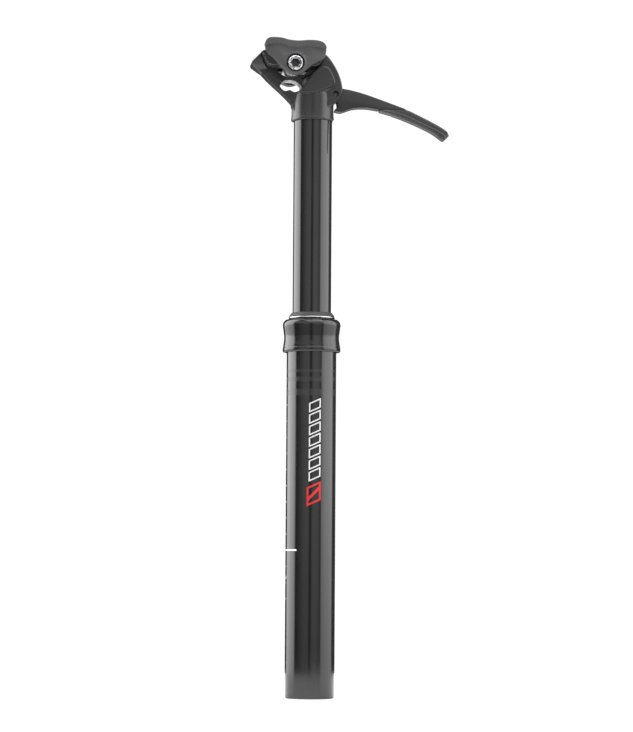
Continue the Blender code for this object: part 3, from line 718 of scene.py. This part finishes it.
def make_head():
    foot = extent("seatpost_head")[0].z
    profile = [
        (0, 380.4), (11.2, 380.2), (12.2, 379.0), (13.0, 377.0), (13.4, 375.0), (13.5, 372.6),
        (13.45, 366.0), (13.5, 362.8), (13.62, 361.2), (13.75, 360.5), (13.78, foot + 0.5),
        (13.55, foot), (0, foot),
    ]
    head = lathe("seatpost_head_skin", profile, 96)
    dome = lathe("dome", [
        (0, 400.0), (4.6, 399.6), (7.6, 396.3), (10.2, 391.8), (12.0, 387.5), (12.9, 383.7),
        (13.2, 380.4), (12.8, 378.2), (11.8, 376.6), (10.6, 375.2), (0, 372.0),
    ], 96)
    dome_x = 3.2
    dome.data.transform(Matrix.Translation((dome_x * MM, 0, 0)))
    join(head, dome, head_horn(), head_cheeks(), head_pad(-1), head_pad(1), head_web())
    troughs = []
    for low, high in ((-THROUGH, -WEB_Y), (WEB_Y, THROUGH)):
        troughs.append(along_y(rod("trough", ROCKER_R + 0.3, low, high, 160), *TILT))
    cut(head, *troughs, above_web())
    lever_slot = [
        (-5.6, 371.2), (12.4, 371.2), (12.4, 358.0), (24.0, 358.0), (24.0, 381.4), (12.5, 381.4),
        (9.5, 386.2), (-5.6, 386.2),
    ]
    slot_half = 5.0
    cut(head, prism("lever_slot", lever_slot, -slot_half, slot_half))
    forge(head, 0.3, 5)
    cut_bright(head, kidney(), tilt_slot())
    socket = rod("socket", INNER_R + 0.25, 350, extent("inner_tube")[1].z + 0.3, 96)
    pin_hole = along_y(rod("pin_hole", SMALL_HOLE_R, -20, 20, 32), *LEVER)
    rod_hole = rod("rod_hole", 3.3, 360, 373, 48)
    cut(head, socket, rod_hole, pin_hole)
    finish_piece(
        head, "seatpost_head", "inner_post", LOOKS["forged"], 50, LOOKS["wall"]
    )


def make_pivot_pin():
    low, high = extent("lever_pivot_pin")
    size = (high.x - low.x) / 2
    end = high.y
    profile = [
        (0, end - 0.5), (0.45, end - 0.45), (0.6, end), (size - 0.3, end), (size, end - 0.3),
        (size, -end + 0.3), (size - 0.3, -end), (0.6, -end), (0.45, -end + 0.45), (0, -end + 0.5),
    ]
    pin = along_y(lathe("lever_pivot_pin_skin", profile, 48), *LEVER)
    finish_piece(pin, "lever_pivot_pin", "inner_post", LOOKS["pin"])


# ---------------------------------------------------------------- release lever

def make_lever_arm():
    outline = flow([
        (-3.2, 381.2, "corner"), (6.0, 380.6), (9.4, 377.6), (9.8, 374.4), (12.0, 372.0),
        (14.2, 371.5), (14.9, 370.2), (15.0, 368.8), (14.7, 367.6), (13.5, 366.8, "corner"),
        (13.5, 365.6, "corner"), (16.0, 365.0), (18.0, 365.1), (20.5, 366.0), (25.3, 367.5),
        (33.0, 367.9), (40.3, 366.9), (44.0, 366.2), (54.0, 363.6), (66.0, 358.8),
        (78.0, 352.6, "corner"), (79.6, 354.2, "corner"), (68.0, 361.4), (58.8, 365.6),
        (57.8, 367.5), (54.0, 369.0), (43.0, 372.9), (32.0, 376.6), (24.0, 378.7),
        (17.2, 379.9), (12.0, 380.6), (7.0, 384.2, "corner"), (-3.2, 384.2, "corner"),
    ], 5)
    half = 4.45
    arm = prism("lever_arm_skin", outline, -half, half)
    bevel(arm, 0.7, 3, 60)
    # inside the grip the arm narrows to a thin core
    core_half = 3.2
    waist = [
        (40.8, 340.0), (40.8, 367.3), (57.9, 367.0), (58.2, 372.0), (92.0, 372.0), (92.0, 340.0),
    ]
    trims = []
    for side in (-1, 1):
        low, high = sorted((side * core_half, side * 9))
        trims.append(prism("core_trim", waist, low, high))
    bore = along_y(rod("lever_bore", SMALL_HOLE_R, -20, 20, 32), *LEVER)
    cut(arm, bore, rod("screw_hole", SMALL_HOLE_R, 375, 390, 32), *trims)
    finish_piece(arm, "lever_arm", "lever", LOOKS["lever"], 40)


def make_grip():
    """A sleeve lofted along the outer arm: rounded underside, a rim, straighter sides."""
    # x on the lower edge, z below, x on the upper edge, z above, rim's place between them
    stations = [
        (41.4, 365.7, 41.9, 367.3, 0.55), (46.0, 364.6, 47.0, 367.5, 0.5),
        (52.0, 362.6, 54.0, 367.3, 0.42), (57.0, 360.7, 58.7, 367.9, 0.36),
        (61.5, 358.9, 63.6, 365.3, 0.34), (66.0, 357.0, 68.4, 363.1, 0.33),
        (70.4, 355.0, 73.0, 360.8, 0.34), (74.6, 352.9, 77.6, 358.4, 0.38),
        (78.4, 350.2, 81.6, 356.2, 0.45), (80.9, 348.2, 84.6, 353.9, 0.5),
        (82.0, 347.8, 85.6, 351.4, 0.5),
    ]
    half = extent("lever_grip")[1].y
    # share of the half width, then the level: 0 at the bottom, 1 at the rim, 3 at the top
    section = [
        (0.0, 0.0), (0.45, 0.02), (0.78, 0.14), (0.97, 0.62), (1.0, 1.0), (0.93, 1.06),
        (0.88, 1.3), (0.87, 2.2), (0.8, 2.75), (0.55, 2.98), (0.0, 3.0),
    ]
    solid = bmesh.new()
    rings = []
    for index, (low_x, low_z, high_x, high_z, rim) in enumerate(stations):
        squeeze = 1.0
        if index == 0:
            squeeze = 0.93
        elif index == len(stations) - 1:
            squeeze = 0.72
        right = []
        for width, level in section:
            share = level * rim if level <= 1.0 else rim + (level - 1.0) / 2.0 * (1.0 - rim)
            x = low_x + (high_x - low_x) * share
            z = low_z + (high_z - low_z) * share
            right.append((x, width * half * squeeze, z))
        left = [(x, -y, z) for x, y, z in reversed(right[1:-1])]
        rings.append([solid.verts.new((x * MM, y * MM, z * MM)) for x, y, z in right + left])
    for first, second in zip(rings, rings[1:]):
        count = len(first)
        for i in range(count):
            j = (i + 1) % count
            solid.faces.new((first[i], first[j], second[j], second[i]))
    solid.faces.new(list(reversed(rings[0])))
    solid.faces.new(rings[-1])
    bmesh.ops.recalc_face_normals(solid, faces=solid.faces)
    grip = mesh_object("lever_grip_skin", solid)
    bevel(grip, 0.5, 2, 50)
    soften = grip.modifiers.new("soften", "SUBSURF")
    soften.levels = 2
    soften.render_levels = 2
    settle(grip)
    pocket = flow([
        (36.0, 367.6, "corner"), (40.3, 366.6), (44.0, 365.9), (54.0, 363.3), (66.0, 358.5),
        (78.2, 352.0, "corner"), (80.2, 354.3, "corner"), (68.2, 361.7), (57.0, 366.5),
        (54.4, 368.4, "corner"), (53.5, 375.0, "corner"), (36.0, 380.0, "corner"),
    ], 5)
    pocket_half = 3.5
    cut(grip, prism("pocket", pocket, -pocket_half, pocket_half))
    finish_piece(grip, "lever_grip", "lever", LOOKS["grip"], 50)


# ---------------------------------------------------------------- saddle clamp

def channel(side):
    """The space a saddle rail takes, along X."""
    tool = rod("channel", CHANNEL_R, -60, 60, 64)
    place = Matrix.Translation((TILT[0] * MM, side * RAIL[0] * MM, RAIL[1] * MM))
    tool.data.transform(place @ Matrix.Rotation(math.pi / 2, 4, "Y"))
    return tool


def cradle_outline(top, low=391.3):
    """A round rocker's outline, from its flat foot up to a level top."""
    half_low = math.degrees(math.acos((TILT[1] - low) / ROCKER_R))
    half_top = math.degrees(math.acos((TILT[1] - top) / ROCKER_R))
    lower = arc(TILT, ROCKER_R, half_low + 3.5, half_top, 20)
    upper = arc(TILT, ROCKER_R, -half_top, -half_low - 3.5, 20)
    corner = ROCKER_R * math.sin(math.radians(half_low))
    return lower + upper + [(TILT[0] - corner + 1.6, low), (TILT[0] + corner - 1.6, low)]


def make_cradle():
    core_half = 14.2
    core = prism("saddle_cradle_skin", cradle_outline(401.0), -core_half, core_half)
    cradle = bevel(core, 0.3, 1, 50)
    for side in (-1, 1):
        low, high = sorted((side * 13.8, side * (EAR_PLATE_Y - 0.35)))
        join(cradle, bevel(prism("flange", cradle_outline(400.6), low, high), 0.7, 3, 40))
    # a groove round its middle takes the head's web
    half = WEB_Y + 0.4
    groove = along_y(lathe("groove", [(24, half), (24, -half), (9.6, -half), (9.6, half)], 96), *TILT)
    notch = along_y(rod("notch", SLEEVE_R + 0.3, -THROUGH, THROUGH, 64), *BOLT)
    cut(cradle, channel(-1), channel(1), groove, notch)
    finish_piece(cradle, "saddle_cradle", "saddle_rocker", LOOKS["forged"], 40)


def make_sleeve():
    end = extent("clamp_sleeve")[1].y
    profile = [
        (SLEEVE_R - 0.3, end), (SLEEVE_R, end - 0.3), (SLEEVE_R, -end + 0.3),
        (SLEEVE_R - 0.3, -end), (BOLT_HOLE_R, -end), (BOLT_HOLE_R, end),
    ]
    sleeve = along_y(lathe("clamp_sleeve_skin", profile, 96), *BOLT)
    finish_piece(sleeve, "clamp_sleeve", "saddle_rocker", LOOKS["sleeve"])


def ear_outline():
    """An ear seen from its outer side."""
    return flow([
        (-32.2, 403.4), (-31.5, 405.9), (-29.3, 407.3), (-25.8, 407.5), (-21.8, 407.2),
        (-17.3, 406.1), (-11.5, 405.6), (-5.3, 406.1), (0.2, 405.9), (3.9, 404.7), (5.7, 402.3),
        (5.8, 399.6), (5.3, 396.8), (4.3, 395.0), (0.7, 393.1), (-3.9, 390.2), (-7.7, 386.8),
        (-10.3, 385.3), (-13.3, 384.9), (-16.1, 385.5), (-18.7, 386.9), (-22.3, 390.4),
        (-26.7, 394.9), (-30.7, 398.0), (-32.1, 400.4),
    ])


def ear_lip():
    """The thick roll along the ear's top, over the saddle rail."""
    outline = flow([
        (-32.0, 402.8, "corner"), (-32.2, 404.0), (-31.4, 406.0), (-29.2, 407.3), (-25.8, 407.5),
        (-21.8, 407.2), (-17.3, 406.1), (-11.5, 405.6), (-5.3, 406.1), (0.2, 405.9), (3.9, 404.7),
        (5.7, 402.3), (5.8, 401.0, "corner"), (0.2, 401.5), (-4.8, 402.2), (-9.6, 401.8),
        (-13.2, 401.2), (-18.3, 402.0), (-21.6, 403.5), (-27.0, 403.9),
    ])
    lip = prism("ear_lip", outline, -EAR_Y + 0.1, -EAR_BACK_Y)
    return bevel(lip, 1.3, 4, 40)


def make_ears():
    """Each ear is a bowed plate with a shallow dish, a boss for the bolt and a lip over the rail."""
    ear = prism("near_clamp_ear_skin", ear_outline(), -EAR_Y + 0.1, -EAR_BACK_Y)
    bevel(ear, 0.7, 3, 50)
    bow = 90.0
    barrel = rod("barrel", bow, 360, 404.8, 256)
    barrel.data.transform(Matrix.Translation((EAR_X * MM, (-EAR_Y + 0.6 + bow) * MM, 0)))
    keep(ear, barrel)
    dish_y, dish_z = -EAR_Y - 24.8, 399.4
    dish = rod("dish", 26.0, -60, 60, 160)
    place = Matrix.Translation((EAR_X * MM, dish_y * MM, dish_z * MM))
    dish.data.transform(place @ Matrix.Rotation(math.radians(97), 4, "Y"))
    cut(ear, dish)
    face = -EAR_Y + 0.3
    boss = [(0, -20.0), (6.9, -20.0), (6.9, -27.2), (6.5, -EAR_Y + 0.5), (6.1, face), (0, face)]
    join(ear, along_y(lathe("boss", boss, 96), *BOLT), ear_lip())
    below_rail = [(-45, 370), (20, 370), (20, RAIL[1]), (-45, RAIL[1])]
    cut(ear, prism("inside", below_rail, -EAR_PLATE_Y, -10))
    forge(ear, 0.25, 4)
    head_r = 5.6
    seat = [
        (0, -10.0), (BOLT_HOLE_R, -10.0), (BOLT_HOLE_R, -25.0), (head_r, -25.0), (head_r, -34.0),
        (0, -34.0),
    ]
    cut(ear, along_y(lathe("seat", seat, 64), *BOLT))
    cut(ear, channel(-1))
    far = mirrored(ear, "far_clamp_ear_skin")
    finish_piece(ear, "near_clamp_ear", "near_ear", LOOKS["ear"], 45)
    finish_piece(far, "far_clamp_ear", "far_ear", LOOKS["ear"], 45)


def make_bolt():
    """Socket-head bolt: knurled rim, turned face, deep hexagon."""
    low, high = extent("clamp_bolt")
    top = low.y
    size = (high.x - low.x) / 2
    foot = top + 3.2
    shank_r = 3.0
    teeth = 26
    knurl_depth = 0.055
    profile = [
        (0, high.y), (2.6, high.y), (shank_r, high.y - 0.5), (shank_r, foot), (size - 0.02, foot),
        (size - 0.02, top + 1.0), (size - 0.25, top + 0.45), (size - 0.75, top + 0.08),
        (size - 1.0, top), (size - 1.25, top + 0.15), (size - 1.45, top + 0.5), (3.15, top + 0.55),
        (0, top + 0.6),
    ]
    bolt = lathe("clamp_bolt_skin", profile, teeth * 6)
    for vertex in bolt.data.vertices:
        reach = math.hypot(vertex.co.x, vertex.co.y) / MM
        if reach > size - 1.1 and vertex.co.z < (foot + 0.01) * MM:
            turn = math.atan2(vertex.co.y, vertex.co.x) * teeth
            pull = 1.0 - knurl_depth * (0.5 - 0.5 * math.cos(turn))
            vertex.co.x *= pull
            vertex.co.y *= pull
    key_r = 2.9
    hexagon = [(0, top + 2.9), (key_r, top + 2.9), (key_r, top - 5), (0, top - 5)]
    # the hexagon's walls take the near-black socket look: painted shade in the recess
    cut_bright(bolt, lathe("key", hexagon, 6))
    along_y(bolt, *BOLT)
    finish_piece(
        bolt, "clamp_bolt", "clamp_bolt", LOOKS["bolt"], 25, LOOKS["socket"]
    )


def make_nut():
    """A round nut with four slots for a pin key."""
    low, high = extent("clamp_nut")
    size = (high.x - low.x) / 2
    profile = [
        (BOLT_HOLE_R, high.y), (size - 0.4, high.y), (size, high.y - 0.4), (size, low.y),
        (BOLT_HOLE_R, low.y),
    ]
    nut = lathe("clamp_nut_skin", profile, 96)
    outline = [(-0.7, -7), (0.7, -7), (0.7, -3.7), (-0.7, -3.7)]
    slots = []
    for i in range(4):
        wedge = prism("slot", outline, high.y - 1.2, high.y + 3)
        wedge.data.transform(Matrix.Rotation(math.pi / 2 * i + math.pi / 4, 4, "Y"))
        wedge.data.transform(Matrix.Rotation(math.pi / 2, 4, "X"))
        slots.append(wedge)
    cut(nut, *slots)
    along_y(nut, *BOLT)
    finish_piece(nut, "clamp_nut", "far_ear", LOOKS["bolt"])


# ---------------------------------------------------------------- carried-over nodes

def dress_cad_nodes():
    """Give the pieces kept as the CAD made them their materials."""
    looks = {
        "collar_o_ring": "rubber", "upper_bushing": "bushing", "top_out_bumper": "rubber",
        "base_plug": "bare", "base_circlip": "steel", "gas_cylinder": "steel",
        "cylinder_gland": "bare", "rod_seal": "rubber", "lower_bushing": "bushing",
        "guide_key_1": "brass", "guide_key_2": "brass", "guide_key_3": "brass",
        "piston_rod": "steel", "gas_piston": "bare", "piston_seal": "rubber",
        "rod_lock_nut": "steel", "release_pin": "steel", "adjuster_screw": "steel",
    }
    for name, look in looks.items():
        node = frame["nodes"][name]
        for slot in node.material_slots:
            slot.material = LOOKS[look]


# ---------------------------------------------------------------- studio

def make_floor():
    solid = bmesh.new()
    bmesh.ops.create_circle(solid, cap_ends=True, segments=128, radius=0.35)
    floor = mesh_object("floor", solid)
    floor.location.z = -0.0004
    nodes = Nodes("floor_paper")
    grain = nodes.noise(400.0, 2.0)
    nodes.set(Base_Color=nodes.mix(grain, grey(0.86), grey(0.9)))
    nodes.set(Roughness=nodes.spread(grain, 0.3, 0.7, 0.85, 0.95))
    nodes.shader.inputs["Emission Color"].default_value = (1.0, 1.0, 1.0, 1.0)
    nodes.shader.inputs["Emission Strength"].default_value = 0.55
    floor.data.materials.append(nodes.material)


def make_world():
    """White to the camera; to reflections, a dark room with tall soft boxes, a sky and a ground."""
    world = bpy.data.worlds.new("studio")
    bpy.context.scene.world = world
    world.use_nodes = True
    world.node_tree.nodes.clear()
    tree = Tree(world.node_tree)

    direction = tree.add("ShaderNodeSeparateXYZ")
    tree.link(tree.add("ShaderNodeTexCoord").outputs["Generated"], direction.inputs[0])
    x, y, z = direction.outputs
    turn = tree.math("ARCTAN2", x, tree.math("MULTIPLY", y, -1.0))
    shifted = tree.math("ADD", tree.math("DIVIDE", turn, 2 * math.pi), 0.5 - VIEW_TURN / 360)
    place = tree.math("FRACT", shifted)

    ramp = tree.add("ShaderNodeValToRGB")
    ramp.color_ramp.interpolation = "LINEAR"
    # azimuth from the camera's side, in degrees, and brightness as a share of the brightest box
    stops = [
        (-180, 0.01), (-143, 0.01), (-137, 0.55), (-128, 0.75), (-110, 0.95), (-95, 0.98), (-82, 0.9),
        (-77, 0.5), (-73, 0.02), (-66, 0.035), (-51, 0.09), (-31, 0.18), (-12, 0.2), (-8, 0.13),
        (-3, 0.03), (1, 0.05), (5, 0.13), (10, 0.21), (25, 0.22), (38, 0.17), (45, 0.08), (48, 0.14),
        (52, 0.52), (60, 0.62), (76, 0.7), (100, 0.62), (113, 0.55), (118, 0.25), (124, 0.03),
        (180, 0.01),
    ]
    elements = ramp.color_ramp.elements
    for _ in range(len(stops) - 2):
        elements.new(0.5)
    for element, (angle, _) in zip(elements, stops):
        element.position = (angle + 180) / 360
    for element, (_, value) in zip(elements, stops):
        element.color = (value, value, value, 1.0)
    tree.link(place, ramp.inputs[0])

    box_power = 6.0
    sky_power = 2.0
    ground_power = 1.35
    backdrop_power = 1.05
    boxes = tree.math("MULTIPLY", ramp.outputs["Color"], tree.spread(z, -0.05, 0.03, 0.55, 1.0))
    boxes = tree.math("MULTIPLY", boxes, tree.spread(z, 0.75, 0.95, 1.0, 0.3))
    boxes = tree.math("MULTIPLY", boxes, box_power)
    sky_foot = tree.spread(z, 0.22, 0.5, 0.0, sky_power)
    sky = tree.math("MULTIPLY", sky_foot, tree.spread(z, 0.55, 0.75, 1.0, 0.0))
    sky = tree.math("MULTIPLY", sky, tree.spread(y, 0.3, -0.2, 0.0, 1.0))
    boxes = tree.math("MAXIMUM", boxes, sky)
    ground = tree.spread(z, -0.2, -0.32, 0.0, 1.0)
    upper = tree.math("MULTIPLY", boxes, tree.math("SUBTRACT", 1.0, ground))
    room = tree.math("ADD", upper, tree.math("MULTIPLY", ground, ground_power))

    # sockets 2 and 3 are what reflections see and what the camera sees
    camera_ray = tree.add("ShaderNodeLightPath").outputs["Is Camera Ray"]
    mix = tree.add("ShaderNodeMix", data_type="FLOAT")
    tree.link(camera_ray, mix.inputs[0])
    tree.link(room, mix.inputs[2])
    tree.link(backdrop_power, mix.inputs[3])
    background = tree.add("ShaderNodeBackground")
    tree.link(mix.outputs[0], background.inputs["Strength"])
    background.inputs["Color"].default_value = (1.0, 1.0, 1.0, 1.0)
    tree.link(background.outputs[0], tree.add("ShaderNodeOutputWorld").inputs["Surface"])


def make_light(name, place, target, size, power):
    data = bpy.data.lights.new(name, "AREA")
    data.shape = "RECTANGLE"
    data.size, data.size_y = size
    data.energy = power
    light = bpy.data.objects.new(name, data)
    light.location = place
    light.rotation_euler = (Vector(target) - Vector(place)).to_track_quat("-Z", "Y").to_euler()
    light.visible_camera = False
    bpy.context.scene.collection.objects.link(light)


def make_camera():
    data = bpy.data.cameras.new("camera")
    data.sensor_fit = "VERTICAL"
    data.sensor_height = 36.0
    data.lens = 147.54
    data.clip_end = 50.0
    camera = bpy.data.objects.new("camera", data)
    pitch = 93.3                    # degrees; at 90 the camera looks level
    roll = 0.353
    swing = Matrix.Rotation(math.radians(VIEW_TURN), 4, "Z")
    look = Matrix.Rotation(math.radians(pitch), 4, "X") @ Matrix.Rotation(math.radians(roll), 4, "Z")
    camera.matrix_world = swing @ Matrix.Translation((0.00316, -1.8663, 0.0984)) @ look
    bpy.context.scene.collection.objects.link(camera)
    bpy.context.scene.camera = camera


def make_studio():
    scene = bpy.context.scene
    scene.view_settings.view_transform = "Standard"
    scene.view_settings.look = "None"
    make_camera()
    make_floor()
    make_world()
    make_light("top_box", place=(0.1, -0.5, 1.5), target=(0, 0, 0.3), size=(1.2, 1.2), power=14)


make_studio()
make_outer_tube()
make_inner_tube()
make_collar()
make_wiper()
make_wiper_ring()
make_head()
make_pivot_pin()
make_lever_arm()
make_grip()
make_cradle()
make_sleeve()
make_ears()
make_bolt()
make_nut()
dress_cad_nodes()
